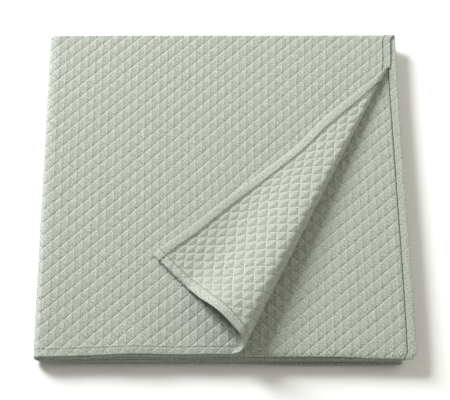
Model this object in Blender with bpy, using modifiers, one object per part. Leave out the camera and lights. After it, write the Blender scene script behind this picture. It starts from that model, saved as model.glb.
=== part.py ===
"""A woven bedspread folded into a flat package, with the near right corner of its top layer turned back.

X runs to the right along the package, Y away from its front edge and Z up. The origin is on the surface
that the package lies on, under the middle of its outline. Sizes are in millimetres up to the last step.

A point of the cloth is given by u, its distance from the side edge that lies on top of the package, and
by v, its distance from the edge at the front of the top layer. The cloth is first folded back and forth
in v, into a strip of four layers. The strip is then halved in u, and halved once more.
"""

import math

import bmesh
import bpy
from mathutils import Vector

MM = 0.001

# Cloth and stack
THICKNESS = 1.1
PITCH = 1.6  # from the middle of one layer to the middle of the next
STRIP_LAYERS = 4
STRIP = STRIP_LAYERS * PITCH
STACK_LAYERS = 16
WIDTH = 586.0  # from the rounded left side to the furthest side edge on the right
DEPTH = 628.0  # from the front folds to the back folds, outside

# Back-and-forth fold in v
BEND_RADIUS = PITCH / 2
BEND = math.pi * BEND_RADIUS
RUN = DEPTH - PITCH - THICKNESS
PERIOD = RUN + BEND
CLOTH_LENGTH = STRIP_LAYERS * RUN + (STRIP_LAYERS - 1) * BEND

# Halving in u: the outer fold wraps the whole stack on the left, and the inner one lies within it
OUTER_RADIUS = 1.5 * STRIP
INNER_RADIUS = 0.5 * STRIP
REACH = 1.5 * PITCH + THICKNESS / 2  # from the strip's middle to its face
LEFT_X = -WIDTH / 2 + OUTER_RADIUS + REACH
RIGHT_X = 267.0
TOP_EDGE_X = 277.75
INNER_EDGE_X = 276.0
TOP_RUN = TOP_EDGE_X - LEFT_X
MIDDLE_RUN = RIGHT_X - LEFT_X
INNER_RUN = INNER_EDGE_X - LEFT_X
BOTTOM_Z = THICKNESS / 2 + 1.5 * PITCH
TOP_Z = BOTTOM_Z + (STACK_LAYERS - STRIP_LAYERS) * PITCH
FACE_Z = TOP_Z + 1.5 * PITCH
LOWEST_Z = THICKNESS / 2

# Each flat run of the strip from the edge on top, and the fold that ends it: a positive turn is to the
# left of the direction of travel
SECTION = (
    # x at its start, run, radius, turn
    (TOP_EDGE_X, TOP_RUN, OUTER_RADIUS, 180),
    (LEFT_X, MIDDLE_RUN, INNER_RADIUS, 180),
    (RIGHT_X, MIDDLE_RUN, INNER_RADIUS, -180),
    (LEFT_X, INNER_RUN, 0.0, 0),
)
CLOTH_WIDTH = sum(run + radius * math.radians(abs(turn)) for start_x, run, radius, turn in SECTION)

# The turned corner: it bends along the line from CREASE_BACK on the side edge to CREASE_FRONT on the
# front edge, over a cone that is narrow at the back and wide at the front
CREASE_BACK = Vector((270.0, 251.5))
CREASE_FRONT = Vector((6.0, -310.0))
ROLL_BACK = 3.5
ROLL_FRONT = 17.5
FLAP_FALL = 130.0  # over which the turned corner comes down onto the layer below it
FLAP_REST = 2.4  # from the middle of the top layer to the middle of the corner lying on it

# Where the side edge on the right lies, beyond TOP_EDGE_X
SIDE_EDGE = (
    # v, shift
    (0.0, -11.0),
    (0.25 * RUN, -13.0),
    (0.42 * RUN, -16.0),
    (0.50 * RUN, -17.0),
    (0.64 * RUN, -9.5),
    (0.75 * RUN, -7.5),
    (0.87 * RUN, -7.2),
    (0.905 * RUN, -2.2),
    (0.985 * RUN, -1.4),
    (PERIOD + 0.004 * RUN, 7.4),
    (PERIOD + 0.10 * RUN, 6.6),
    (PERIOD + 0.45 * RUN, 10.2),
    (PERIOD + 0.985 * RUN, WIDTH / 2 - TOP_EDGE_X),
    (PERIOD + RUN + BEND / 2, 10.0),
    (2 * PERIOD + 0.02 * RUN, 13.6),
    (3 * PERIOD - BEND / 2, 5.0),
    (CLOTH_LENGTH, 3.0),
)
SIDE_EDGE_FADE = 300.0

# How far each stretch of the strip stays back from the front and back outlines
RECESS = (
    # u, front, back
    (0.0, 0.4, 0.0),
    (40.0, 0.8, 0.0),
    (110.0, 3.6, 0.0),
    (0.75 * TOP_RUN, 3.8, 0.2),
    (0.87 * TOP_RUN, 3.0, 0.3),
    (0.97 * TOP_RUN, 2.0, 0.4),
    (TOP_RUN + 30.0, 7.0, 0.6),
    (TOP_RUN + 65.0, 3.4, 0.6),
    (TOP_RUN + 330.0, 3.4, 1.2),
    (TOP_RUN + MIDDLE_RUN - 130.0, 0.0, 0.4),
    (TOP_RUN + MIDDLE_RUN, 0.4, 0.8),
    (TOP_RUN + MIDDLE_RUN + 90.0, 2.4, 2.0),
    (TOP_RUN + 2 * MIDDLE_RUN, 1.6, 1.4),
    (TOP_RUN + 2 * MIDDLE_RUN + 120.0, 3.0, 2.4),
    (CLOTH_WIDTH, 1.8, 1.0),
)

# How far the free front edge on top lies behind the fold under it
FRONT_HEM = (
    # u, recess
    (0.0, 6.0),
    (90.0, 5.0),
    (130.0, 2.4),
    (0.75 * TOP_RUN, 2.2),
    (0.87 * TOP_RUN, 1.7),
    (0.97 * TOP_RUN, 0.9),
)

# How much the stack rises or sinks along its front edge
FRONT_RISE = (
    # x, rise
    (-294.0, -3.0),
    (-262.0, -2.9),
    (-205.0, -1.6),
    (-135.0, 2.0),
    (-75.0, -1.2),
    (-20.0, 0.4),
    (292.0, -0.4),
)
RISE_FADE = (
    # distance from the front, share of the front edge's rise
    (0.0, 1.0),
    (0.12 * RUN, 0.35),
    (0.25 * RUN, 0.0),
)
SWELL = 0.4  # height of the broad waves in the package's top
SWELL_LENGTHS = (430.0, 510.0)

# Lines across the flat cloth, where the mesh is cut before it is folded. Every run shares the lines at
# which the stack rises and sinks, so that its layers follow each other.
RUN_CUTS = (-262.0, -205.0, -135.0, -75.0, -20.0, 120.0)
TOP_RUN_CUTS = (*RUN_CUTS, 40.0, 187.75, 240.0, 268.0)
OUTER_STEPS = 8
INNER_STEPS = 6
TOP_LAYER_CUTS = (0.015, 0.12, 0.25, 0.42, 0.50, 0.64, 0.75, 0.88, 0.94, 0.985)
EDGE_LAYER_CUTS = (0.015, 0.12, 0.25, 0.50, 0.75, 0.985)
LAYER_CUTS = (0.12, 0.25, 0.50, 0.75)
BEND_STEPS = 4
ROLL_STEPS = 8
FLAP_CUTS = (18.0, 40.0, 65.0, 92.0, 125.0)
CUT_SNAP = 0.3


def between(table, at, column=1):
    """The value of a table's column at a place between its rows."""
    for low, high in zip(table, table[1:]):
        if at <= high[0]:
            share = max(0.0, (at - low[0]) / (high[0] - low[0]))
            return low[column] + share * (high[column] - low[column])
    return table[-1][column]


def layer_at(v):
    """Place along Y of the cloth's point v, and its offset from the strip's middle."""
    layer = min(int(v / PERIOD), STRIP_LAYERS - 1)
    along = v - layer * PERIOD
    side = 1 if layer % 2 == 0 else -1
    offset = (1.5 - layer) * PITCH
    if along <= RUN:
        return side * (along - RUN / 2), offset
    angle = (along - RUN) / BEND_RADIUS
    return side * (RUN / 2 + BEND_RADIUS * math.sin(angle)), offset - BEND_RADIUS * (1 - math.cos(angle))


def strip_at(u):
    """Middle of the strip at u, as x and z, and the direction of its outer face there."""
    place = Vector((TOP_EDGE_X, TOP_Z))
    heading = math.pi
    for start_x, run, radius, turn in SECTION:
        ahead = Vector((math.cos(heading), math.sin(heading)))
        if u <= run or not radius:
            return place + ahead * u, Vector((ahead.y, -ahead.x))
        place = place + ahead * run
        u -= run
        side = math.copysign(1.0, turn)
        centre = place + Vector((-ahead.y, ahead.x)) * radius * side
        angle = min(u / radius, math.pi)
        now = heading + side * angle
        ahead = Vector((math.cos(now), math.sin(now)))
        place = centre - Vector((-ahead.y, ahead.x)) * radius * side
        if u <= radius * math.pi:
            return place, Vector((ahead.y, -ahead.x))
        u -= radius * math.pi
        heading += side * math.pi


def rise_at(x, y):
    """How far the top of the package stands above its even height."""
    front = between(FRONT_RISE, x) * between(RISE_FADE, y + RUN / 2)
    swell = math.sin(x * 2 * math.pi / SWELL_LENGTHS[0]) * math.sin(y * 2 * math.pi / SWELL_LENGTHS[1])
    return front + SWELL * swell


def beyond_crease(x, y):
    """Distance along the crease from its back end, and distance past it towards the corner."""
    along = (CREASE_FRONT - CREASE_BACK).normalized()
    past = Vector((-along.y, along.x))
    offset = Vector((x, y)) - CREASE_BACK
    return offset.dot(along), offset.dot(past), along, past


def roll_radius(along):
    share = along / (CREASE_FRONT - CREASE_BACK).length
    return ROLL_BACK + share * (ROLL_FRONT - ROLL_BACK)


def turned_back(x, y):
    """Place of the top layer's point (x, y) once its corner is turned back, above the layer's middle."""
    along, past, ahead, across = beyond_crease(x, y)
    if past <= 0:
        return x, y, 0.0
    radius = roll_radius(along)
    foot = CREASE_BACK + ahead * along
    if past < math.pi * radius:
        angle = past / radius
        place = foot + across * radius * math.sin(angle)
        return place.x, place.y, radius * (1 - math.cos(angle))
    back = past - math.pi * radius
    place = foot - across * back
    fall = 0.5 + 0.5 * math.cos(math.pi * min(back / FLAP_FALL, 1.0))
    return place.x, place.y, FLAP_REST + (2 * radius - FLAP_REST) * fall


def folded(u, v):
    """Place in the package of the cloth's point (u, v)."""
    y, offset = layer_at(v)
    middle, outward = strip_at(u)
    x = middle.x + outward.x * offset
    z = middle.y + outward.y * offset
    rise = rise_at(x, y)
    x += between(SIDE_EDGE, v) * max(0.0, 1 - u / SIDE_EDGE_FADE) ** 2
    to_front = (0.5 - y / DEPTH) ** 3
    to_back = (0.5 + y / DEPTH) ** 3
    y += between(RECESS, u, 1) * to_front - between(RECESS, u, 2) * to_back
    lift = 0.0
    if v < RUN and u < TOP_RUN:
        y += between(FRONT_HEM, u) * to_front
        x, y, lift = turned_back(x, y)
        if lift:
            rise = rise_at(x, y)
    return Vector((x, y, z + lift + rise * (z - LOWEST_Z) / (FACE_Z - LOWEST_Z)))


def lines_in_u():
    """Where the flat cloth is cut across its width: in each flat run and round each fold."""
    lines = []
    start = 0.0
    for start_x, run, radius, turn in SECTION:
        on_top = start_x == TOP_EDGE_X
        lines += [start + abs(x - start_x) for x in (TOP_RUN_CUTS if on_top else RUN_CUTS)]
        start += run
        fold = radius * math.radians(abs(turn))
        steps = OUTER_STEPS if on_top else INNER_STEPS
        lines += [start + fold * step / steps for step in range(steps + 1)]
        start += fold
    return sorted(line for line in set(lines) if 0 < line < CLOTH_WIDTH)


def lines_in_v():
    """Where the flat cloth is cut along its length: in each layer and round each bend."""
    lines = []
    for layer, cuts in enumerate((TOP_LAYER_CUTS, EDGE_LAYER_CUTS, LAYER_CUTS, LAYER_CUTS)):
        start = layer * PERIOD
        towards_back = layer % 2 == 0
        lines += [start + RUN * (share if towards_back else 1 - share) for share in cuts]
        lines += [start + RUN + BEND * step / BEND_STEPS for step in range(BEND_STEPS + 1)]
    return sorted(line for line in set(lines) if 0 < line < CLOTH_LENGTH)


def crease_lines():
    """Lines over the turned corner, each as its ends in the plane of the top layer."""
    across = beyond_crease(0.0, 0.0)[3]
    lines = []
    for step in range(ROLL_STEPS + 1):
        angle = math.pi * step / ROLL_STEPS
        lines.append((CREASE_BACK + across * ROLL_BACK * angle, CREASE_FRONT + across * ROLL_FRONT * angle))
    last_back, last_front = lines[-1]
    lines += [(last_back + across * past, last_front + across * past) for past in FLAP_CUTS]
    return lines


def cut(cloth, point, normal):
    """Cut every face of the flat cloth along one straight line."""
    bmesh.ops.bisect_plane(
        cloth,
        geom=cloth.verts[:] + cloth.edges[:] + cloth.faces[:],
        dist=CUT_SNAP,
        plane_co=(point[0], point[1], 0.0),
        plane_no=(normal[0], normal[1], 0.0),
    )


def flat_cloth():
    """The cloth as one flat rectangle in u and v, cut along every line at which it is folded."""
    cloth = bmesh.new()
    bmesh.ops.create_grid(cloth, x_segments=1, y_segments=1, size=0.5)
    for corner in cloth.verts:
        corner.co.x = (corner.co.x + 0.5) * CLOTH_WIDTH
        corner.co.y = (corner.co.y + 0.5) * CLOTH_LENGTH
    for u in lines_in_u():
        cut(cloth, (u, 0.0), (1.0, 0.0))
    for v in lines_in_v():
        cut(cloth, (0.0, v), (0.0, 1.0))
    for back, front in crease_lines():
        start = Vector((TOP_EDGE_X - back.x, back.y + RUN / 2))
        end = Vector((TOP_EDGE_X - front.x, front.y + RUN / 2))
        along = end - start
        cut(cloth, start, (along.y, -along.x))
    return cloth


def split_alike(cloth):
    """Split every face in triangles, each rectangle along the same diagonal as those above and below it."""

    def across_package(corner):
        u, v = corner.co.xy
        return strip_at(u)[0].x + layer_at(v)[0]

    bmesh.ops.triangulate(cloth, faces=[face for face in cloth.faces if len(face.verts) > 4])
    for face in [face for face in cloth.faces if len(face.verts) == 4]:
        nearest = min(face.verts, key=across_package)
        furthest = max(face.verts, key=across_package)
        if not any(nearest in edge.verts and furthest in edge.verts for edge in face.edges):
            bmesh.utils.face_split(face, nearest, furthest)


def woven_cotton():
    material = bpy.data.materials.new("woven_cotton")
    material.use_nodes = True
    shader = material.node_tree.nodes["Principled BSDF"]
    shader.inputs["Base Color"].default_value = (0.50, 0.54, 0.47, 1.0)
    shader.inputs["Roughness"].default_value = 0.9
    shader.inputs["Metallic"].default_value = 0.0
    return material


def make_bedspread(collection):
    cloth = flat_cloth()
    split_alike(cloth)
    for corner in cloth.verts:
        corner.co = folded(corner.co.x, corner.co.y) * MM
    mesh = bpy.data.meshes.new("bedspread")
    cloth.to_mesh(mesh)
    cloth.free()
    mesh.materials.append(woven_cotton())
    bedspread = bpy.data.objects.new("bedspread", mesh)
    collection.objects.link(bedspread)
    shell = bedspread.modifiers.new("thickness", "SOLIDIFY")
    shell.thickness = THICKNESS * MM
    shell.offset = 0.0
    shell.use_even_offset = True
    shell.use_quality_normals = True
    return bedspread


def main():
    for obj in list(bpy.data.objects):
        bpy.data.objects.remove(obj, do_unlink=True)
    collection = bpy.data.collections.new("folded_bedspread")
    bpy.context.scene.collection.children.link(collection)
    make_bedspread(collection)


main()
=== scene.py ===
"""The look of the folded bedspread: its cloth with a raised weave, hems and stitch rows."""

import math

import bpy
import numpy as np
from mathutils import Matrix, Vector


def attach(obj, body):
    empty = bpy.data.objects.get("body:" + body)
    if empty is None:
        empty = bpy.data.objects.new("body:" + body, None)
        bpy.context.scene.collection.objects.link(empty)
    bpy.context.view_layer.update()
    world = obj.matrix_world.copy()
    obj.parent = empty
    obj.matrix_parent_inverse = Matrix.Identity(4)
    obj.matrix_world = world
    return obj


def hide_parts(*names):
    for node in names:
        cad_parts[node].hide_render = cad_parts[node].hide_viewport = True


MM = 0.001

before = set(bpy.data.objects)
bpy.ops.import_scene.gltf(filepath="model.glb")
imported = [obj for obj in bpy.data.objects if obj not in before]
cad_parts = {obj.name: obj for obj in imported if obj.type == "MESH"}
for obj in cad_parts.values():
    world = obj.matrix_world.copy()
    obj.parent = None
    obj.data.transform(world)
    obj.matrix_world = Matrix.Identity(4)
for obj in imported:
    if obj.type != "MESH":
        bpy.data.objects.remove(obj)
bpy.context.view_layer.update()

# The cloth and how it is folded, in millimetres. All of it is the part's own, but for the roll's radii,
# the turned corner's fall and rest, and its two free edges, which follow the photo a little closer.
THICKNESS = 1.1
PITCH = 1.6
STRIP_LAYERS = 4
STRIP = STRIP_LAYERS * PITCH
STACK_LAYERS = 16
WIDTH = 586.0
DEPTH = 628.0
BEND_RADIUS = PITCH / 2
BEND = math.pi * BEND_RADIUS
RUN = DEPTH - PITCH - THICKNESS
PERIOD = RUN + BEND
CLOTH_LENGTH = STRIP_LAYERS * RUN + (STRIP_LAYERS - 1) * BEND
OUTER_RADIUS = 1.5 * STRIP
INNER_RADIUS = 0.5 * STRIP
REACH = 1.5 * PITCH + THICKNESS / 2
LEFT_X = -WIDTH / 2 + OUTER_RADIUS + REACH
RIGHT_X = 267.0
TOP_EDGE_X = 277.75
INNER_EDGE_X = 276.0
TOP_RUN = TOP_EDGE_X - LEFT_X
MIDDLE_RUN = RIGHT_X - LEFT_X
INNER_RUN = INNER_EDGE_X - LEFT_X
BOTTOM_Z = THICKNESS / 2 + 1.5 * PITCH
TOP_Z = BOTTOM_Z + (STACK_LAYERS - STRIP_LAYERS) * PITCH
FACE_Z = TOP_Z + 1.5 * PITCH
LOWEST_Z = THICKNESS / 2
OUTER_FOLD = math.pi * OUTER_RADIUS
INNER_FOLD = math.pi * INNER_RADIUS
CLOTH_WIDTH = TOP_RUN + OUTER_FOLD + 2 * (MIDDLE_RUN + INNER_FOLD) + INNER_RUN
STRIP_FOLDS = (
    # radius, the run that follows, steps around
    (OUTER_RADIUS, MIDDLE_RUN, 10),
    (INNER_RADIUS, MIDDLE_RUN, 8),
    (INNER_RADIUS, INNER_RUN, 8),
)

CREASE_BACK = np.array((270.0, 251.5))
CREASE_FRONT = np.array((6.0, -310.0))
CREASE = CREASE_FRONT - CREASE_BACK
CREASE_LENGTH = float(np.hypot(*CREASE))
ALONG = CREASE / CREASE_LENGTH
ACROSS = np.array((-ALONG[1], ALONG[0]))
ROLL_BACK = 2.1
ROLL_FRONT = 18.0
SMALLEST_ROLL = 1.0
FLAP_FALL = 108.0
FLAP_REST = 3.2

# How far to the right the cloth's free side edge lies, along its length
SIDE_EDGE = np.array((
    # v, shift
    (0.0, -13.0),
    (14.0, -12.3),
    (30.0, -12.8),
    (0.14 * RUN, -15.2),
    (0.25 * RUN, -14.4),
    (0.42 * RUN, -17.7),
    (0.50 * RUN, -19.4),
    (0.64 * RUN, -11.6),
    (0.75 * RUN, -9.4),
    (0.84 * RUN, -8.6),
    (0.87 * RUN, -6.0),
    (0.895 * RUN, -3.6),
    (0.93 * RUN, -2.0),
    (0.985 * RUN, -1.4),
    (PERIOD + 0.004 * RUN, 7.4),
    (PERIOD + 0.10 * RUN, 6.6),
    (PERIOD + 0.45 * RUN, 10.2),
    (PERIOD + 0.985 * RUN, WIDTH / 2 - TOP_EDGE_X),
    (PERIOD + RUN + BEND / 2, 10.0),
    (2 * PERIOD + 0.02 * RUN, 13.6),
    (3 * PERIOD - BEND / 2, 5.0),
    (CLOTH_LENGTH, 3.0),
))
SIDE_EDGE_FADE = 300.0

# How far the layers stand back from the package's front and back, over the cloth's width
RECESS = np.array((
    # u, front, back
    (0.0, 0.4, 0.0),
    (40.0, 0.8, 0.0),
    (110.0, 3.6, 0.0),
    (0.75 * TOP_RUN, 3.8, 0.2),
    (0.87 * TOP_RUN, 3.0, 0.3),
    (0.97 * TOP_RUN, 2.0, 0.4),
    (TOP_RUN + 30.0, 7.0, 0.6),
    (TOP_RUN + 65.0, 3.4, 0.6),
    (TOP_RUN + 330.0, 3.4, 1.2),
    (TOP_RUN + MIDDLE_RUN - 130.0, 0.0, 0.4),
    (TOP_RUN + MIDDLE_RUN, 0.4, 0.8),
    (TOP_RUN + MIDDLE_RUN + 90.0, 2.4, 2.0),
    (TOP_RUN + 2 * MIDDLE_RUN, 1.6, 1.4),
    (TOP_RUN + 2 * MIDDLE_RUN + 120.0, 3.0, 2.4),
    (CLOTH_WIDTH, 1.8, 1.0),
))

# How much farther back the top layer's front edge lies
FRONT_HEM = np.array((
    # u, recess
    (0.0, 6.8),
    (90.0, 5.4),
    (130.0, 2.2),
    (0.75 * TOP_RUN, 2.2),
    (0.87 * TOP_RUN, 1.7),
    (0.97 * TOP_RUN, 0.9),
    (TOP_RUN, 0.0),
))

# How the face rises and falls along its front edge, and how that fades away from it
FRONT_RISE = np.array((
    # x, rise
    (-294.0, -3.0),
    (-262.0, -2.9),
    (-205.0, -1.6),
    (-135.0, 2.0),
    (-75.0, -1.2),
    (-20.0, 0.4),
    (292.0, -0.4),
))
RISE_FADE = np.array((
    # distance from the front, share
    (0.0, 1.0),
    (0.12 * RUN, 0.35),
    (0.25 * RUN, 0.0),
))
SWELL = 0.4
SWELL_LENGTHS = (430.0, 510.0)

# What the scene adds to the part: a fuller cloth, hems and the raised weave
CLOTH = 1.3
HEM = 14.5
HEM_EXTRA = 0.9
HEM_EDGE = 0.4
HEM_PRESS = 0.45  # how much of the raised weave the hem loses
FLAP_HEM_PRESS = 0.85
FLAP_END_PRESS = (0.4, 0.9)  # the same at the turned corner and farther along its front hem
FLAP_END_REACH = (70.0, 130.0)
FLAP_SIDE_WIDER = 4.8  # how much farther in the side's stitch row lies on the turned corner
FLAP_SIDE_WIDE_ENDS = (0.72 * RUN, 0.86 * RUN)
FLAP_END_WIDER = 3.2
FLAP_END_WIDE_ENDS = (150.0, 260.0)
WIDER_TO = 60.0
FLAP_HEM_BULGE = 0.5
BULGE_WIDE = 4.0
FLAP_HEM_ROUND = 0.8
FLAP_END_ROUND = 0.3
ROUND_REACH = (-1.5, 3.5)
REVERSE_EXTRA = 1.9  # out of two: the turned corner's hem is folded over to its reverse
HIDDEN_HEM_EXTRA = 0.15
HEM_LIFT = 0.45  # how far the hems of the two top layers hold each other apart
HEM_LIFT_FROM = 1.0
HEM_LIFT_TO = 4.0
RIM = 0.6  # how far the rounded edge stands out past the two sides
STITCH_IN = 12.3
ROW_WIDE = 0.7
ROW_FADE = 0.6
ROW_DEPTH = 0.5
REPEAT_U = 24.0
REPEAT_V = 24.72
RELIEF = 0.9
GROOVE = 0.15
EAVES = 0.4  # height of a rhomb at its two corners across the cloth, as a share
RELIEF_FADE = 3.0
RELIEF_FOLD_END = (2.2, 2.9)  # angles around the outer fold where the relief ends, out of sight
BESIDE_CREASE = (1.0, 5.0)
TURNED_FROM = -6.0
SQUEEZED_CLOTH = 0.7  # how far the cloth's own thickness follows where the layers lie closer

# Stitches of the hem rows
STITCH_STEP = 3.4
STITCH_LONG = 2.7
STITCH_SEAT = -0.12
ROW_END = 4.0
ROW_END_AT_FOLD = 10.0
STITCH_RINGS = (
    # place along the stitch, height, width
    (-0.5, 0.05, 0.2),
    (-0.25, 0.35, 0.45),
    (0.25, 0.35, 0.45),
    (0.5, 0.05, 0.2),
)

# How the strips thin out at the front, how the top strip's front edge drops, and how the turned corner's
# front edge arches up and its roll starts late at the back end
SQUEEZE = 0.35
SQUEEZE_SWING = 0.1
SQUEEZE_LENGTH = 170.0
SQUEEZE_TURN = 0.9
SQUEEZE_FADE = 26.0
EDGE_DROP = 1.3
EDGE_DROP_REACH = 20.0
EDGE_DROP_FADE = 60.0
EDGE_DROP_LIFT = 2.0
EDGE_LIFT = 14.0
EDGE_LIFT_REACH = 115.0
EDGE_LIFT_FADE = 48.0
LATE = 12.5  # how far past the crease the roll starts at its back end
LATE_REACH = (-8.0, 24.0)

# The parts of the turned corner's edges that lie close on the face, and how close that is
CLOSE_SIDE = (0.62 * RUN, 0.88 * RUN)
CLOSE_FRONT = (12.0, 110.0)
CLOSE_STEPS = 20
CLOSE_HEIGHT = 4.0
FAR = 40.0  # stands for any greater distance

# Where a corner of the rhombs lies, as its distance past a whole repeat. The weave drifts a little over
# the cloth, as in a real one.
DRIFT_U = (65.0, 250.0, 440.0, 525.0)
DRIFT = np.array((
    # v, then the drift in u and in v at each place of DRIFT_U
    (45.0, 8.3, -7.2, 8.3, -4.5, 9.1, 1.8, 10.1, 3.4),
    (155.0, 9.4, -8.4, 9.2, -5.0, 9.2, 0.2, 9.7, 0.9),
    (250.0, 8.9, -10.0, 10.5, -5.5, 10.5, -0.4, 11.0, 0.6),
    (410.0, 11.0, -3.0, 15.0, -1.5, 12.5, -0.7, 12.7, 0.5),
    (560.0, 12.6, 2.9, 14.5, -0.3, 13.3, 0.2, 13.3, 0.2),
    (1148.0, 7.5, 5.5, 7.5, 5.5, 8.0, 5.5, 8.0, 5.5),
))


def between(table, at, column=1):
    """A table's column at places between its rows, along a smooth curve that doesn't overshoot."""
    x, y = table[:, 0], table[:, column]
    steps = np.diff(x)
    slopes = np.diff(y) / steps
    turn = np.zeros(len(x))
    same = slopes[:-1] * slopes[1:] > 0
    before, after = slopes[:-1][same], slopes[1:][same]
    turn[1:-1][same] = 2 * before * after / (before + after)
    at = np.clip(at, x[0], x[-1])
    low = np.clip(np.searchsorted(x, at, side="right") - 1, 0, len(steps) - 1)
    t = (at - x[low]) / steps[low]
    return (
        y[low] * (1 + 2 * t) * (1 - t) ** 2
        + y[low + 1] * t**2 * (3 - 2 * t)
        + steps[low] * t * (1 - t) * (turn[low] * (1 - t) - turn[low + 1] * t)
    )


def layer_of(v):
    """Number of the layer within a strip, from 0 for the one on its outer face."""
    return np.clip((v / PERIOD).astype(int), 0, STRIP_LAYERS - 1)


def layer_at(v):
    """Place along Y of the cloth at v, and its offset from the strip's middle."""
    layer = layer_of(v)
    along = v - layer * PERIOD
    side = np.where(layer % 2 == 0, 1.0, -1.0)
    offset = (1.5 - layer) * PITCH
    angle = np.clip((along - RUN) / BEND_RADIUS, 0.0, math.pi)
    y = side * (np.minimum(along, RUN) - RUN / 2 + BEND_RADIUS * np.sin(angle))
    return y, offset - BEND_RADIUS * (1 - np.cos(angle))


def strip_at(u):
    """Middle of the strip at u, as x and z, and the direction of its outer face, as x and z."""
    x = TOP_EDGE_X - np.minimum(u, TOP_RUN)
    z = np.full(u.shape, TOP_Z)
    heading = np.full(u.shape, math.pi)
    start = TOP_RUN
    for (radius, run, _), turn in zip(STRIP_FOLDS, (1, 1, -1)):
        angle = np.clip((u - start) / radius, 0.0, math.pi)
        ahead = np.cos(heading)
        x = x + ahead * radius * np.sin(angle)
        z = z + turn * ahead * radius * (1 - np.cos(angle))
        heading = heading + turn * angle
        start += math.pi * radius
        x = x - ahead * np.clip(u - start, 0.0, run)
        start += run
    return x, z, np.sin(heading), -np.cos(heading)


def rise_at(x, y):
    """How much the front edge's waves and a slight swell of the top lift the face at (x, y)."""
    front = between(FRONT_RISE, x) * between(RISE_FADE, y + RUN / 2)
    swell = np.sin(x * 2 * math.pi / SWELL_LENGTHS[0]) * np.sin(y * 2 * math.pi / SWELL_LENGTHS[1])
    return front + SWELL * swell


def squeeze_at(x, y, z):
    """How much closer a strip's layers lie at the front, which leaves open gaps between the strips."""
    uneven = SQUEEZE_SWING * np.sin(x * 2 * math.pi / SQUEEZE_LENGTH + z * SQUEEZE_TURN)
    return (SQUEEZE + uneven) * (1 - ease(0.0, SQUEEZE_FADE, y + DEPTH / 2))


def past_crease(x, y):
    """Distance along the crease from its back end, and distance past it towards the corner."""
    dx, dy = x - CREASE_BACK[0], y - CREASE_BACK[1]
    return dx * ALONG[0] + dy * ALONG[1], dx * ACROSS[0] + dy * ACROSS[1]


def turned_back(x, y):
    """The top layer's points (x, y) once its corner is turned back, and their height above the layer."""
    along, past = past_crease(x, y)
    past = past - LATE * (1 - ease(*LATE_REACH, along))
    radius = ROLL_BACK + along / CREASE_LENGTH * (ROLL_FRONT - ROLL_BACK)
    radius = np.maximum(radius, SMALLEST_ROLL)
    angle = np.clip(past / radius, 0.0, math.pi)
    back = np.maximum(past - math.pi * radius, 0.0)
    fall = 0.5 + 0.5 * np.cos(math.pi * np.minimum(back / FLAP_FALL, 1.0))
    beyond = radius * np.sin(angle) - back
    lift = radius * (1 - np.cos(angle))
    arch = np.clip(back / EDGE_LIFT_REACH, 0.0, 1.0)
    at_front = np.exp(-(((y + DEPTH / 2) / EDGE_LIFT_FADE) ** 2))
    raise_edge = EDGE_LIFT * (4 * arch * (1 - arch)) ** 1.5 * at_front
    lift = np.where(back > 0, FLAP_REST + (2 * radius - FLAP_REST) * fall + raise_edge, lift)
    turned = past > 0
    new_x = np.where(turned, CREASE_BACK[0] + ALONG[0] * along + ACROSS[0] * beyond, x)
    new_y = np.where(turned, CREASE_BACK[1] + ALONG[1] * along + ACROSS[1] * beyond, y)
    return new_x, new_y, np.where(turned, lift, 0.0)


def wider_hem(across, most):
    """How much farther in the turned corner's stitch rows lie than the cloth's other rows do."""
    return most * ease(0.0, STITCH_IN, across) * (1 - ease(HEM, WIDER_TO, across))


def folded(u, v):
    """Places of the middle of the cloth at (u, v) in the package."""
    y, offset = layer_at(v)
    x, z, out_x, out_z = strip_at(u)
    offset = offset * (1 - squeeze_at(x, y, z))
    x = x + out_x * offset
    z = z + out_z * offset
    rise = rise_at(x, y)
    x = x + between(SIDE_EDGE, v) * np.maximum(0.0, 1 - u / SIDE_EDGE_FADE) ** 2
    x = x - wider_hem(u, FLAP_SIDE_WIDER) * (1 - ease(*FLAP_SIDE_WIDE_ENDS, v))
    to_front = (0.5 - y / DEPTH) ** 3
    to_back = (0.5 + y / DEPTH) ** 3
    y = y + between(RECESS, u, 1) * to_front - between(RECESS, u, 2) * to_back
    at_front = (1 - ease(0.0, EDGE_DROP_REACH, y + DEPTH / 2)) ** 2
    drop = EDGE_DROP * ease(0.0, EDGE_DROP_FADE, TOP_RUN - u) * at_front
    on_top = (v < RUN) & (u < TOP_RUN)
    top_y = y + between(FRONT_HEM, u) * to_front
    top_y = top_y + wider_hem(v, FLAP_END_WIDER) * (1 - ease(*FLAP_END_WIDE_ENDS, u))
    top_x, top_y, lift = turned_back(x, top_y)
    turned = on_top & (lift > 0)
    z = z - drop * np.where(turned, np.exp(-lift / EDGE_DROP_LIFT), 1.0)
    x = np.where(on_top, top_x, x)
    y = np.where(on_top, top_y, y)
    lift = np.where(on_top, lift, 0.0)
    rise = np.where(turned, rise_at(x, y), rise)
    return np.stack((x, y, z + lift + rise * (z - LOWEST_Z) / (FACE_Z - LOWEST_Z)), axis=-1)


def outward(u, v, step=0.05):
    """The direction that the cloth's face looks in at (u, v)."""
    across = folded(u + step, v) - folded(u - step, v)
    along = folded(u, v + step) - folded(u, v - step)
    normal = np.cross(along, across)
    return normal / np.linalg.norm(normal, axis=-1, keepdims=True)


def ease(low, high, at):
    """From 0 at low to 1 at high, smoothly."""
    share = np.clip((at - low) / (high - low), 0.0, 1.0)
    return share * share * (3 - 2 * share)


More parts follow.
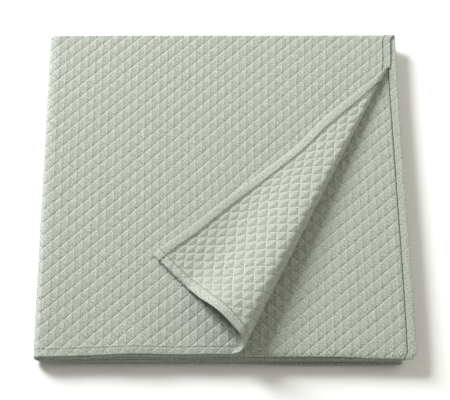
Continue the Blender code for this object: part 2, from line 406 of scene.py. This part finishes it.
def weave_at(u, v):
    """The cloth's place in the weave, in repeats from a corner of the rhombs."""
    columns = [(between(DRIFT, v, 1 + 2 * k), between(DRIFT, v, 2 + 2 * k)) for k in range(len(DRIFT_U))]
    drift_u, drift_v = columns[0]
    for low, high, (next_u, next_v) in zip(DRIFT_U, DRIFT_U[1:], columns[1:]):
        share = ease(low, high, u)
        drift_u = drift_u + share * (next_u - drift_u)
        drift_v = drift_v + share * (next_v - drift_v)
    return (u - drift_u) / REPEAT_U, (v - drift_v) / REPEAT_V


def rhombs(s, t, eaves):
    """Height of the weave, from 0 to 1: each rhomb is a low roof whose ridge runs along the cloth."""
    p, q = np.mod(s + t, 1.0), np.mod(s - t, 1.0)
    roof = 1 - np.abs(p + q - 1)
    side = np.minimum(np.minimum(p, 1 - p), np.minimum(q, 1 - q))
    return (eaves + (1 - eaves) * roof) * ease(0.0, GROOVE, side)


def raised(u, v, facing):
    """How far the cloth's outer side (facing 1) or inner side (facing -1) stands out from the middle."""
    layer = layer_of(v)
    s, t = weave_at(u, v)
    height = RELIEF * rhombs(s, t, np.where((layer == 0) & (facing < 0), 0.0, EAVES))
    x, y, z = np.moveaxis(folded(u, v), -1, 0)
    if facing > 0:
        shown = (layer == 0) * (1 - ease(RUN - RELIEF_FADE, RUN, v))
        angle = np.clip((u - TOP_RUN) / OUTER_RADIUS, 0.0, math.pi)
        shown = shown * (1 - ease(*RELIEF_FOLD_END, angle)) * (u < TOP_RUN + OUTER_FOLD)
    else:
        _, past = past_crease(TOP_EDGE_X - u, v - RUN / 2)
        shown = (layer == 0) * (u < TOP_RUN) * ease(0.0, RELIEF_FADE, past)
        _, past = past_crease(x, y)
        flat = ease(0.0, RELIEF_FADE, 2 * PERIOD - BEND - v) * ease(0.0, RELIEF_FADE, v - PERIOD)
        shown = shown + (layer == 1) * (u < TOP_RUN) * ease(*BESIDE_CREASE, past) * flat
    side_hem = 1 - ease(HEM - HEM_EDGE, HEM + HEM_EDGE, u)
    end_hem = (layer == 0) * (1 - ease(HEM - HEM_EDGE, HEM + HEM_EDGE, v))
    thin = np.where(layer > 0, squeeze_at(x, y, z), 0.0)
    low, high = FLAP_END_PRESS
    reverse = (layer == 0) & (facing < 0)
    side_press = side_hem * np.where(reverse, FLAP_HEM_PRESS, HEM_PRESS)
    end_press = end_hem * np.where(reverse, low + (high - low) * ease(*FLAP_END_REACH, u), HEM_PRESS)
    relief = height * shown * (1 - np.maximum(side_press, end_press))
    stands = CLOTH / 2 * (1 - SQUEEZED_CLOTH * thin) + relief
    full = np.where(layer < 2, HEM_EXTRA / 2, HIDDEN_HEM_EXTRA)
    turned = ease(TURNED_FROM, 0.0, past_crease(TOP_EDGE_X - u, v - RUN / 2)[1]) * (layer == 0)
    one_side = np.where(facing < 0, REVERSE_EXTRA, 2 - REVERSE_EXTRA)
    full = full * (1 + turned * (one_side - 1))
    stands = stands + full * np.maximum(side_hem, end_hem)
    edge = np.minimum(u, v)
    bulge = FLAP_HEM_BULGE * ease(0.0, BULGE_WIDE, edge) * (1 - ease(BULGE_WIDE, STITCH_IN, edge))
    side_round = 1 - ease(*ROUND_REACH, u)
    end_round = FLAP_END_ROUND - FLAP_END_ROUND * ease(*ROUND_REACH, v)
    rounded = FLAP_HEM_ROUND * np.maximum(side_round, end_round)
    stands = stands + (bulge - rounded) * reverse
    row = np.exp(-(((u - STITCH_IN) / ROW_FADE) ** 2)) * (layer < 2)
    end_row = np.exp(-(((v - STITCH_IN) / ROW_FADE) ** 2)) * (layer == 0)
    return stands - ROW_DEPTH * np.maximum(row, end_row)


def lifted(u, v):
    """How far the hems of the two top layers hold each other apart."""
    layer = layer_of(v)
    side_hem = 1 - ease(HEM - HEM_LIFT_FROM, HEM + HEM_LIFT_TO, u)
    end_hem = 1 - ease(HEM - HEM_LIFT_FROM, HEM + HEM_LIFT_TO, v)
    return HEM_LIFT * np.maximum(side_hem, end_hem) * (layer == 0)


def beside_flap(points, layer):
    """Distance on the face from the turned corner's edges, along the parts that lie close on it."""
    side = np.linspace(*CLOSE_SIDE, CLOSE_STEPS)
    front = np.linspace(*CLOSE_FRONT, CLOSE_STEPS)
    apart = np.full(len(points), FAR)
    for edge in (folded(0 * side, side)[:, :2], folded(front, 0 * front)[:, :2]):
        start, step = edge[:-1], np.diff(edge, axis=0)
        gap = points[:, None, :2] - start[None]
        share = np.clip((gap * step).sum(-1) / (step**2).sum(-1), 0.0, 1.0)
        apart = np.minimum(apart, np.linalg.norm(gap - share[..., None] * step, axis=-1).min(axis=1))
    on_face = (layer == 0) & (np.abs(points[:, 2] - FACE_Z - CLOTH) < CLOSE_HEIGHT)
    return np.where(on_face, apart, FAR)


def surface(u, v, facing):
    """Places of the cloth's outer side (facing 1) or inner side (facing -1) at (u, v)."""
    middle = folded(u, v)
    normal = outward(u, v)
    middle[..., 2] += lifted(u, v)
    return middle + normal * (facing * raised(u, v, facing))[..., None]


# Blocks of the flat cloth. Those that show are cut finely, and the rest stay as they are.
BLOCK = 24.0
HIDDEN_BLOCK = 63.0
HIDDEN_STRIP_BLOCK = 50.0
BEND_STEPS = 6
FINE = 2.85
INWARD_STEP = 0.1
HEM_LINES = (0.0, 1.2, STITCH_IN - ROW_WIDE, STITCH_IN, STITCH_IN + ROW_WIDE, HEM - HEM_EDGE)


def spaced(start, end, step):
    """Even lines from start to end, about a step apart."""
    count = max(1, round((end - start) / step))
    return [start + (end - start) * k / count for k in range(count + 1)]


def u_lines():
    """The blocks' lines across the cloth's width."""
    lines = [*HEM_LINES, *spaced(HEM + HEM_EDGE, TOP_RUN, BLOCK)]
    start = TOP_RUN
    for radius, run, steps in STRIP_FOLDS:
        fold = math.pi * radius
        lines += spaced(start, start + fold, fold / steps)[1:]
        start += fold
        lines += spaced(start, start + run, HIDDEN_STRIP_BLOCK)[1:]
        start += run
    return np.array(lines)


def v_lines():
    """The blocks' lines along the cloth's length."""
    lines = list(HEM_LINES)
    for layer in range(STRIP_LAYERS):
        start = layer * PERIOD
        first = HEM + HEM_EDGE if layer == 0 else start
        block = BLOCK if layer < 2 else HIDDEN_BLOCK
        lines += spaced(first, start + RUN, block)[0 if layer == 0 else 1:]
        if layer < STRIP_LAYERS - 1:
            lines += spaced(start + RUN, start + PERIOD, BEND / BEND_STEPS)[1:]
    return np.array(lines)


def shows(u, v, facing):
    """Whether the block with its middle at (u, v) shows on that side, or bends too much to be left."""
    layer = layer_of(v)
    _, past = past_crease(TOP_EDGE_X - u, v - RUN / 2)
    turned = (layer == 0) & (past > -BLOCK) & (u < TOP_RUN)
    if facing > 0:
        return (layer == 0) & (u < TOP_RUN + OUTER_FOLD) | turned
    _, past = past_crease(TOP_EDGE_X - u, 1.5 * RUN + BEND - v)
    return turned | (layer == 1) & (past > -BLOCK) & (u < TOP_RUN)


def cut_lines(lines, step):
    """Every block's finer lines, and the place of each block's first line among them."""
    fine = [lines[0]]
    first = [0]
    for low, high in zip(lines, lines[1:]):
        fine += spaced(low, high, step)[1:]
        first.append(len(fine) - 1)
    return np.array(fine), first


def make_side(u_blocks, v_blocks, fine_u, fine_v, first_u, first_v, fine, border):
    """One side of the cloth, as the fine lines' crossings that it uses, their u and v, and its faces."""
    faces = []
    middles = []
    across = len(fine_v)
    nu, nv = len(u_blocks) - 1, len(v_blocks) - 1
    for i in range(nu):
        for j in range(nv):
            u0, u1, v0, v1 = first_u[i], first_u[i + 1], first_v[j], first_v[j + 1]
            if fine[i, j]:
                a = (np.arange(u0, u1)[:, None] * across + np.arange(v0, v1)[None]).ravel()
                faces.append(np.stack((a, a + 1, a + across + 1, a + across), axis=-1))
                continue
            low_u = border[i, j, 0] or (i > 0 and fine[i - 1, j])
            high_u = border[i, j, 1] or (i < nu - 1 and fine[i + 1, j])
            low_v = border[i, j, 2] or (j > 0 and fine[i, j - 1])
            high_v = border[i, j, 3] or (j < nv - 1 and fine[i, j + 1])
            ring = [u0 * across + k for k in (range(v0, v1) if low_u else (v0,))]
            ring += [k * across + v1 for k in (range(u0, u1) if high_v else (u0,))]
            ring += [u1 * across + k for k in (range(v1, v0, -1) if high_u else (v1,))]
            ring += [k * across + v0 for k in (range(u1, u0, -1) if low_v else (u1,))]
            if len(ring) == 4:
                faces.append(np.array([ring]))
                continue
            middle = len(fine_u) * across + len(middles)
            middles.append(((u_blocks[i] + u_blocks[i + 1]) / 2, (v_blocks[j] + v_blocks[j + 1]) / 2))
            fan = [(a, b, middle, middle) for a, b in zip(ring, ring[1:] + ring[:1])]
            faces.append(np.array(fan))
    faces = np.concatenate(faces)
    u = np.concatenate((np.repeat(fine_u, across), [m[0] for m in middles]))
    v = np.concatenate((np.tile(fine_v, len(fine_u)), [m[1] for m in middles]))
    used, faces = np.unique(faces, return_inverse=True)
    return used, u[used], v[used], faces.reshape(-1, 4)


def new_piece(name, points, polygons):
    """A smooth piece with that name, from groups of points in millimetres."""
    mesh = bpy.data.meshes.new(name)
    mesh.from_pydata((np.concatenate(points) * MM).tolist(), [], polygons)
    mesh.polygons.foreach_set("use_smooth", [True] * len(mesh.polygons))
    mesh.update()
    piece = bpy.data.objects.new(name, mesh)
    bpy.context.scene.collection.objects.link(piece)
    print(name, len(mesh.vertices), "points", sum(len(p) - 2 for p in polygons), "triangles")
    return piece


def make_cloth():
    """The cloth: its two sides, each cut finely where it shows, and a rim that joins them."""
    u_blocks, v_blocks = u_lines(), v_lines()
    fine_u, first_u = cut_lines(u_blocks, FINE)
    fine_v, first_v = cut_lines(v_blocks, FINE)
    mid_u = (u_blocks[1:] + u_blocks[:-1]) / 2
    mid_v = (v_blocks[1:] + v_blocks[:-1]) / 2
    mid_u, mid_v = np.meshgrid(mid_u, mid_v, indexing="ij")
    fine = {facing: shows(mid_u, mid_v, facing) for facing in (1, -1)}
    border = np.zeros((*mid_u.shape, 4), bool)
    both = fine[1] | fine[-1]
    border[0, :, 0], border[-1, :, 1] = both[0], both[-1]
    border[:, 0, 2], border[:, -1, 3] = both[:, 0], both[:, -1]
    points, coords, weave, contact, faces = [], [], [], [], []
    start = 0
    rims = {}
    for facing in (1, -1):
        used, u, v, quads = make_side(
            u_blocks, v_blocks, fine_u, fine_v, first_u, first_v, fine[facing], border
        )
        points.append(surface(u, v, facing))
        coords.append(np.stack((u, v), axis=-1) * MM)
        back = -u if facing < 0 else u
        weave.append(np.stack(weave_at(np.where(u < HEM, back, u), v), axis=-1))
        layer = layer_of(v)
        reverse = np.where((layer == 0) & (facing < 0), 1.0, 0.0)
        contact.append(np.stack((reverse, beside_flap(points[-1], layer) * MM), axis=-1))
        faces.append((quads if facing > 0 else quads[:, ::-1]) + start)
        rims[facing] = dict(zip(used.tolist(), range(start, start + len(used))))
        start += len(used)
    across = len(fine_v)
    last_u, last_v = len(fine_u) - 1, across - 1
    loop = list(range(last_v))
    loop += [k * across + last_v for k in range(last_u)]
    loop += [last_u * across + k for k in range(last_v, 0, -1)]
    loop += [k * across for k in range(last_u, 0, -1)]
    loop = [k for k in loop if k in rims[1]]
    u = fine_u[np.array(loop) // across]
    v = fine_v[np.array(loop) % across]
    into_u = np.where(u <= 0, INWARD_STEP, np.where(u >= fine_u[-1], -INWARD_STEP, 0.0))
    into_v = np.where(v <= 0, INWARD_STEP, np.where(v >= fine_v[-1], -INWARD_STEP, 0.0))
    out = folded(u, v) - folded(u + into_u, v + into_v)
    out /= np.linalg.norm(out, axis=-1, keepdims=True)
    middle = (surface(u, v, 1) + surface(u, v, -1)) / 2
    points.append(middle + out * RIM)
    coords.append(np.stack((u, v), axis=-1) * MM)
    weave.append(np.stack(weave_at(u, v), axis=-1))
    contact.append(np.stack((0 * u, 0 * u + FAR * MM), axis=-1))
    rim = []
    for n, (a, b) in enumerate(zip(loop, loop[1:] + loop[:1])):
        here, there = start + n, start + (n + 1) % len(loop)
        rim.append((rims[1][b], rims[1][a], here, there))
        rim.append((there, here, rims[-1][a], rims[-1][b]))
    faces.append(np.array(rim))
    polygons = [tuple(dict.fromkeys(face)) for face in np.concatenate(faces).tolist()]
    cloth = new_piece("cloth", points, polygons)
    mesh = cloth.data
    corners = np.zeros(len(mesh.loops), int)
    mesh.loops.foreach_get("vertex_index", corners)
    for name, values in (("weave", weave), ("cloth", coords), ("contact", contact)):
        uv_map = mesh.uv_layers.new(name=name)
        uv_map.data.foreach_set("uv", np.concatenate(values)[corners].ravel())
    mesh.update()
    return cloth


def stitch_rows():
    """Rows of stitches: each as its stitches' middles in the flat cloth, the way they run and the side."""
    long = np.arange(STITCH_IN + ROW_END, RUN - ROW_END, STITCH_STEP)
    wide = np.arange(STITCH_IN + ROW_END, TOP_RUN - ROW_END_AT_FOLD, STITCH_STEP)
    rows = [(STITCH_IN + 0 * long, long, 1, facing) for facing in (1, -1)]
    rows += [(wide, STITCH_IN + 0 * wide, 0, facing) for facing in (1, -1)]
    lower = np.arange(PERIOD + ROW_END, PERIOD + RUN - ROW_END, STITCH_STEP)
    rows.append((STITCH_IN + 0 * lower, lower, 1, -1))
    return rows


def make_stitching():
    """Each stitch is a short low bridge of thread with three sides."""
    points, faces = [], []
    start = 0
    for u, v, along_v, facing in stitch_rows():
        shown = shows(u, v, facing)
        u, v = u[shown], v[shown]
        rings = []
        for at, height, wide in STITCH_RINGS:
            for side, up in ((-0.5, 0.0), (0.0, 1.0), (0.5, 0.0)):
                du = side * wide if along_v else at * STITCH_LONG
                dv = at * STITCH_LONG if along_v else side * wide
                seat = surface(u + du, v + dv, facing)
                normal = outward(u + du, v + dv) * facing
                rings.append(seat + normal * (height * up + STITCH_SEAT))
        count = len(u)
        points.append(np.stack(rings, axis=1).reshape(-1, 3))
        first = start + np.arange(count)[:, None] * len(rings)
        flip = (facing > 0) == bool(along_v)
        for ring in range(len(STITCH_RINGS) - 1):
            for a, b in ((0, 1), (1, 2), (2, 0)):
                quad = first + np.array([[3 * ring + a, 3 * ring + b, 3 * ring + 3 + b, 3 * ring + 3 + a]])
                faces.append(quad[:, ::-1] if flip else quad)
        last = 3 * (len(STITCH_RINGS) - 1)
        for cap in ((2, 1, 0), (last, last + 1, last + 2)):
            end = first + np.array([cap])
            faces.append(end[:, ::-1] if flip else end)
        start += count * len(rings)
    polygons = [tuple(face) for group in faces for face in group.tolist()]
    return new_piece("stitching", points, polygons)


# The stage: a pale floor, a dim sky, one strong light from the back left and a weak one from the right
FLOOR_REACH = 6.0
FLOOR_COLOUR = (0.95, 0.95, 0.95, 1.0)
SKY_COLOUR = (1.0, 0.98, 0.88, 1.0)
SKY_STRENGTH = 0.31
LIGHTS = (
    # name, place, size, watts, colour
    ("key", (-2.6, 2.65, 2.08), 1.8, 326, (0.975, 0.985, 1.0)),
    ("fill", (2.3, 0.5, 1.6), 1.5, 23, (1.0, 0.98, 0.88)),
)
CAMERA_PLACE = (0.000326, -2.14654, 3.11661)
CAMERA_TILT = math.radians(34.5)
CAMERA_LENS = 188.0
SENSOR = 36.0


def area_light(name, place, size, watts, colour):
    """A square light that looks at the origin."""
    data = bpy.data.lights.new(name, "AREA")
    data.shape = "SQUARE"
    data.size = size
    data.energy = watts
    data.color = colour
    light = bpy.data.objects.new(name, data)
    light.location = place
    light.rotation_euler = (-Vector(place)).to_track_quat("-Z", "Y").to_euler()
    bpy.context.scene.collection.objects.link(light)


def make_stage():
    """The floor, the sky and the lights."""
    mesh = bpy.data.meshes.new("floor")
    corners = [(FLOOR_REACH * x, FLOOR_REACH * y, 0) for x, y in ((-1, -1), (1, -1), (1, 1), (-1, 1))]
    mesh.from_pydata(corners, [], [(0, 1, 2, 3)])
    floor = bpy.data.objects.new("floor", mesh)
    material = bpy.data.materials.new("pale_floor")
    material.use_nodes = True
    shader = material.node_tree.nodes["Principled BSDF"]
    shader.inputs["Base Color"].default_value = FLOOR_COLOUR
    shader.inputs["Roughness"].default_value = 0.9
    mesh.materials.append(material)
    bpy.context.scene.collection.objects.link(floor)
    world = bpy.data.worlds.new("studio")
    world.use_nodes = True
    sky = world.node_tree.nodes["Background"]
    sky.inputs["Color"].default_value = SKY_COLOUR
    sky.inputs["Strength"].default_value = SKY_STRENGTH
    bpy.context.scene.world = world
    for light in LIGHTS:
        area_light(*light)
    bpy.context.scene.view_settings.view_transform = "Standard"


def make_camera():
    """A long lens that looks down at the package from the front, as in the photograph."""
    data = bpy.data.cameras.new("camera")
    data.lens = CAMERA_LENS
    data.sensor_width = SENSOR
    camera = bpy.data.objects.new("camera", data)
    camera.location = CAMERA_PLACE
    camera.rotation_euler = (CAMERA_TILT, 0.0, 0.0)
    bpy.context.scene.collection.objects.link(camera)
    bpy.context.scene.camera = camera


class Nodes:
    """Makes a material's nodes and joins them."""

    def __init__(self, material):
        self.tree = material.node_tree

    def add(self, kind, **settings):
        node = self.tree.nodes.new(kind)
        for name, value in settings.items():
            setattr(node, name, value)
        return node

    def put(self, socket, value):
        if isinstance(value, bpy.types.NodeSocket):
            self.tree.links.new(value, socket)
        else:
            socket.default_value = value

    def math(self, operation, *values):
        node = self.add("ShaderNodeMath", operation=operation)
        for socket, value in zip(node.inputs, values):
            self.put(socket, value)
        return node.outputs[0]

    def span(self, value, low, high, to_low=0.0, to_high=1.0, smooth=True):
        node = self.add("ShaderNodeMapRange", interpolation_type="SMOOTHSTEP" if smooth else "LINEAR")
        names = ("Value", "From Min", "From Max", "To Min", "To Max")
        for name, item in zip(names, (value, low, high, to_low, to_high)):
            self.put(node.inputs[name], item)
        return node.outputs["Result"]

    def noise(self, vector, scale, detail):
        node = self.add("ShaderNodeTexNoise")
        self.put(node.inputs["Vector"], vector)
        node.inputs["Scale"].default_value = scale
        node.inputs["Detail"].default_value = detail
        return node.outputs["Fac"]

    def bump(self, height, distance, under=None):
        node = self.add("ShaderNodeBump")
        node.inputs["Strength"].default_value = 1.0
        node.inputs["Distance"].default_value = distance
        self.put(node.inputs["Height"], height)
        if under is not None:
            self.put(node.inputs["Normal"], under)
        return node.outputs["Normal"]


# The yarn's colours, the fine relief that the mesh leaves out, and how light or dark each detail is:
# painted shade in the stitch rows and beside the turned corner, and groove lines that are partly paler
# yarn, partly painted highlight
PALE = (0.60, 0.64, 0.57, 1.0)
DEEP = (0.25, 0.275, 0.235, 1.0)
WEAVE_BUMP = 1.5
GROOVE_BUMP = 0.13
REVERSE_GROOVE = 0.5
ROOF = 0.2
SPINE = 0.4
SPINE_WIDE = 0.2
# Lighter lines along the grooves: partly paler yarn, partly painted highlight, stronger on the reverse and
# where the grooves run across the light
LINE_PALE_AND_HIGHLIGHT = 0.25
CROSS_PALE_AND_HIGHLIGHT = 0.05
REVERSE_PALE_AND_HIGHLIGHT = 0.4
LINE_FROM = 0.02
LINE_WIDE = 0.065
# Painted shade in the troughs of the stitch rows, along the side hems and along the end hem
SIDE_ROW_PAINTED_SHADE = 1.1
END_ROW_PAINTED_SHADE = 0.45
ROW_SHADE_REACH = (0.4, 1.2)
# Painted contact shadow on the face close beside the turned corner's edges: how far it reaches and how
# dark it is
CONTACT_SHADOW_REACH = 3.6
CONTACT_PAINTED_SHADOW = 0.8
TROUGH = 0.35
TROUGH_WIDE = 4.5
FLECK_SCALE = 480.0
FLECK_SPAN = (0.33, 0.67)
FLECK_BUMP = 2.0
CLOUD_SCALE = 60.0
CLOUD = 0.15
THREAD = 0.8
THREAD_SHARE = 0.5
THREAD_BUMP = 0.25
SEWING_COLOUR = (0.34, 0.37, 0.31, 1.0)

# Places of a mix node's two colours among its inputs
COLOUR_A, COLOUR_B = 6, 7


def painted_row_shade_at(n, across, dark):
    """Painted shade in the trough of a stitch row: how much darker the cloth is painted at that distance
    from an edge.
    """
    off = n.math("ABSOLUTE", n.math("SUBTRACT", across, STITCH_IN * MM))
    near, away = ROW_SHADE_REACH
    return n.span(off, near * MM, away * MM, dark, 0.0)


def sewing_thread():
    material = bpy.data.materials.new("sewing_thread")
    material.use_nodes = True
    shader = material.node_tree.nodes["Principled BSDF"]
    shader.inputs["Base Color"].default_value = SEWING_COLOUR
    shader.inputs["Roughness"].default_value = 0.8
    return material


def woven_cotton():
    material = bpy.data.materials.new("woven_cotton")
    material.use_nodes = True
    shader = material.node_tree.nodes["Principled BSDF"]
    n = Nodes(material)
    weave = n.add("ShaderNodeUVMap", uv_map="weave").outputs["UV"]
    cloth = n.add("ShaderNodeUVMap", uv_map="cloth").outputs["UV"]
    sides = n.add("ShaderNodeSeparateXYZ")
    n.put(sides.inputs[0], n.add("ShaderNodeUVMap", uv_map="contact").outputs["UV"])
    reverse, gap = sides.outputs["X"], sides.outputs["Y"]
    apart = n.add("ShaderNodeSeparateXYZ")
    n.put(apart.inputs[0], weave)
    s, t = apart.outputs["X"], apart.outputs["Y"]
    p = n.math("FRACT", n.math("ADD", s, t))
    q = n.math("FRACT", n.math("SUBTRACT", s, t))
    roof = n.math("SUBTRACT", 1.0, n.math("ABSOLUTE", n.math("SUBTRACT", n.math("ADD", p, q), 1.0)))
    side_p = n.math("MINIMUM", p, n.math("SUBTRACT", 1.0, p))
    side_q = n.math("MINIMUM", q, n.math("SUBTRACT", 1.0, q))
    side = n.math("MINIMUM", side_p, side_q)
    spine = n.span(roof, 1 - SPINE_WIDE, 1.0, 0.0, SPINE, smooth=False)
    on_face = n.math("ADD", n.math("MULTIPLY", roof, ROOF), spine)
    on_face = n.math("MULTIPLY", n.math("ADD", on_face, 1 - ROOF - SPINE), n.span(side, 0.0, GROOVE_BUMP))
    on_back = n.math("MULTIPLY", roof, n.span(side, 0.0, GROOVE_BUMP, REVERSE_GROOVE, 1.0))

    flat = n.add("ShaderNodeSeparateXYZ")
    n.put(flat.inputs[0], cloth)
    u, v = flat.outputs["X"], flat.outputs["Y"]
    turns = 2 * math.pi / (THREAD * MM)
    threads = n.math("MULTIPLY", *(n.math("SINE", n.math("MULTIPLY", along, turns)) for along in (u, v)))
    fleck = n.noise(cloth, FLECK_SCALE, 3.0)
    cloud = n.noise(cloth, CLOUD_SCALE, 2.0)

    kept_u = n.span(reverse, 0.0, 1.0, 1 - HEM_PRESS, 1 - FLAP_HEM_PRESS)
    low, high = FLAP_END_REACH
    flap_v = n.span(u, low * MM, high * MM, 1 - FLAP_END_PRESS[0], 1 - FLAP_END_PRESS[1])
    kept_v = n.span(reverse, 0.0, 1.0, 1 - HEM_PRESS, flap_v)
    hem_u = n.span(u, (HEM - HEM_EDGE) * MM, (HEM + HEM_EDGE) * MM, kept_u, 1.0)
    hem_v = n.span(v, (HEM - HEM_EDGE) * MM, (HEM + HEM_EDGE) * MM, kept_v, 1.0)
    plain = n.math("MINIMUM", hem_u, hem_v)
    backs = n.math("SUBTRACT", 1.0, reverse)
    rhombs = n.math("ADD", n.math("MULTIPLY", on_face, backs), n.math("MULTIPLY", on_back, reverse))
    rhombs = n.math("MULTIPLY", rhombs, plain)
    trough = n.span(gap, 0.0, TROUGH_WIDE * MM, -TROUGH, 0.0)
    under = n.bump(n.math("ADD", rhombs, trough), WEAVE_BUMP * MM)
    fine = n.math("ADD", n.math("MULTIPLY", threads, THREAD_SHARE), n.math("MULTIPLY", fleck, FLECK_BUMP))
    n.put(shader.inputs["Normal"], n.bump(fine, THREAD_BUMP * MM, under))
    yarn = n.math("MULTIPLY", n.span(fleck, *FLECK_SPAN), 1 - CLOUD)
    yarn = n.math("ADD", yarn, n.math("MULTIPLY", cloud, CLOUD))
    # pale groove lines, partly paler yarn and partly painted highlight, stronger on the reverse and across
    # the light
    cross = n.span(reverse, 0.0, 1.0, CROSS_PALE_AND_HIGHLIGHT, REVERSE_PALE_AND_HIGHLIGHT)
    straight_pale_and_highlight = n.span(reverse, 0.0, 1.0, LINE_PALE_AND_HIGHLIGHT, REVERSE_PALE_AND_HIGHLIGHT)
    line_p_pale_and_highlight = n.span(side_p, LINE_FROM, LINE_WIDE, straight_pale_and_highlight, 0.0)
    line_q_pale_and_highlight = n.span(side_q, LINE_FROM, LINE_WIDE, cross, 0.0)
    line = n.math("MULTIPLY", n.math("ADD", line_p_pale_and_highlight, line_q_pale_and_highlight), plain)
    # painted shade in the troughs of the stitch rows
    painted_row_shade = n.math("MAXIMUM", painted_row_shade_at(n, u, SIDE_ROW_PAINTED_SHADE), painted_row_shade_at(n, v, END_ROW_PAINTED_SHADE))
    # painted contact shadow on the face close beside the turned corner's edge
    painted_contact_shadow = n.span(gap, 0.0, CONTACT_SHADOW_REACH * MM, CONTACT_PAINTED_SHADOW, 0.0)
    # the yarn's random tone and the pale groove lines with their painted highlight, less the painted shade
    # of the stitch rows and the painted contact shadow
    tone = n.math("SUBTRACT", n.math("ADD", yarn, line), n.math("ADD", painted_row_shade, painted_contact_shadow))
    mix = n.add("ShaderNodeMix", data_type="RGBA", clamp_factor=False)
    n.put(mix.inputs[0], tone)
    mix.inputs[COLOUR_A].default_value = DEEP
    mix.inputs[COLOUR_B].default_value = PALE
    n.put(shader.inputs["Base Color"], mix.outputs[2])
    shader.inputs["Roughness"].default_value = 0.95
    shader.inputs["Sheen Weight"].default_value = 0.08
    shader.inputs["Sheen Roughness"].default_value = 0.6
    return material


make_stage()
make_camera()
cloth = make_cloth()
cloth.data.materials.append(woven_cotton())
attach(cloth, "root")
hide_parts("bedspread")
stitching = make_stitching()
stitching.data.materials.append(sewing_thread())
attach(stitching, "root")
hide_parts("bedspread")
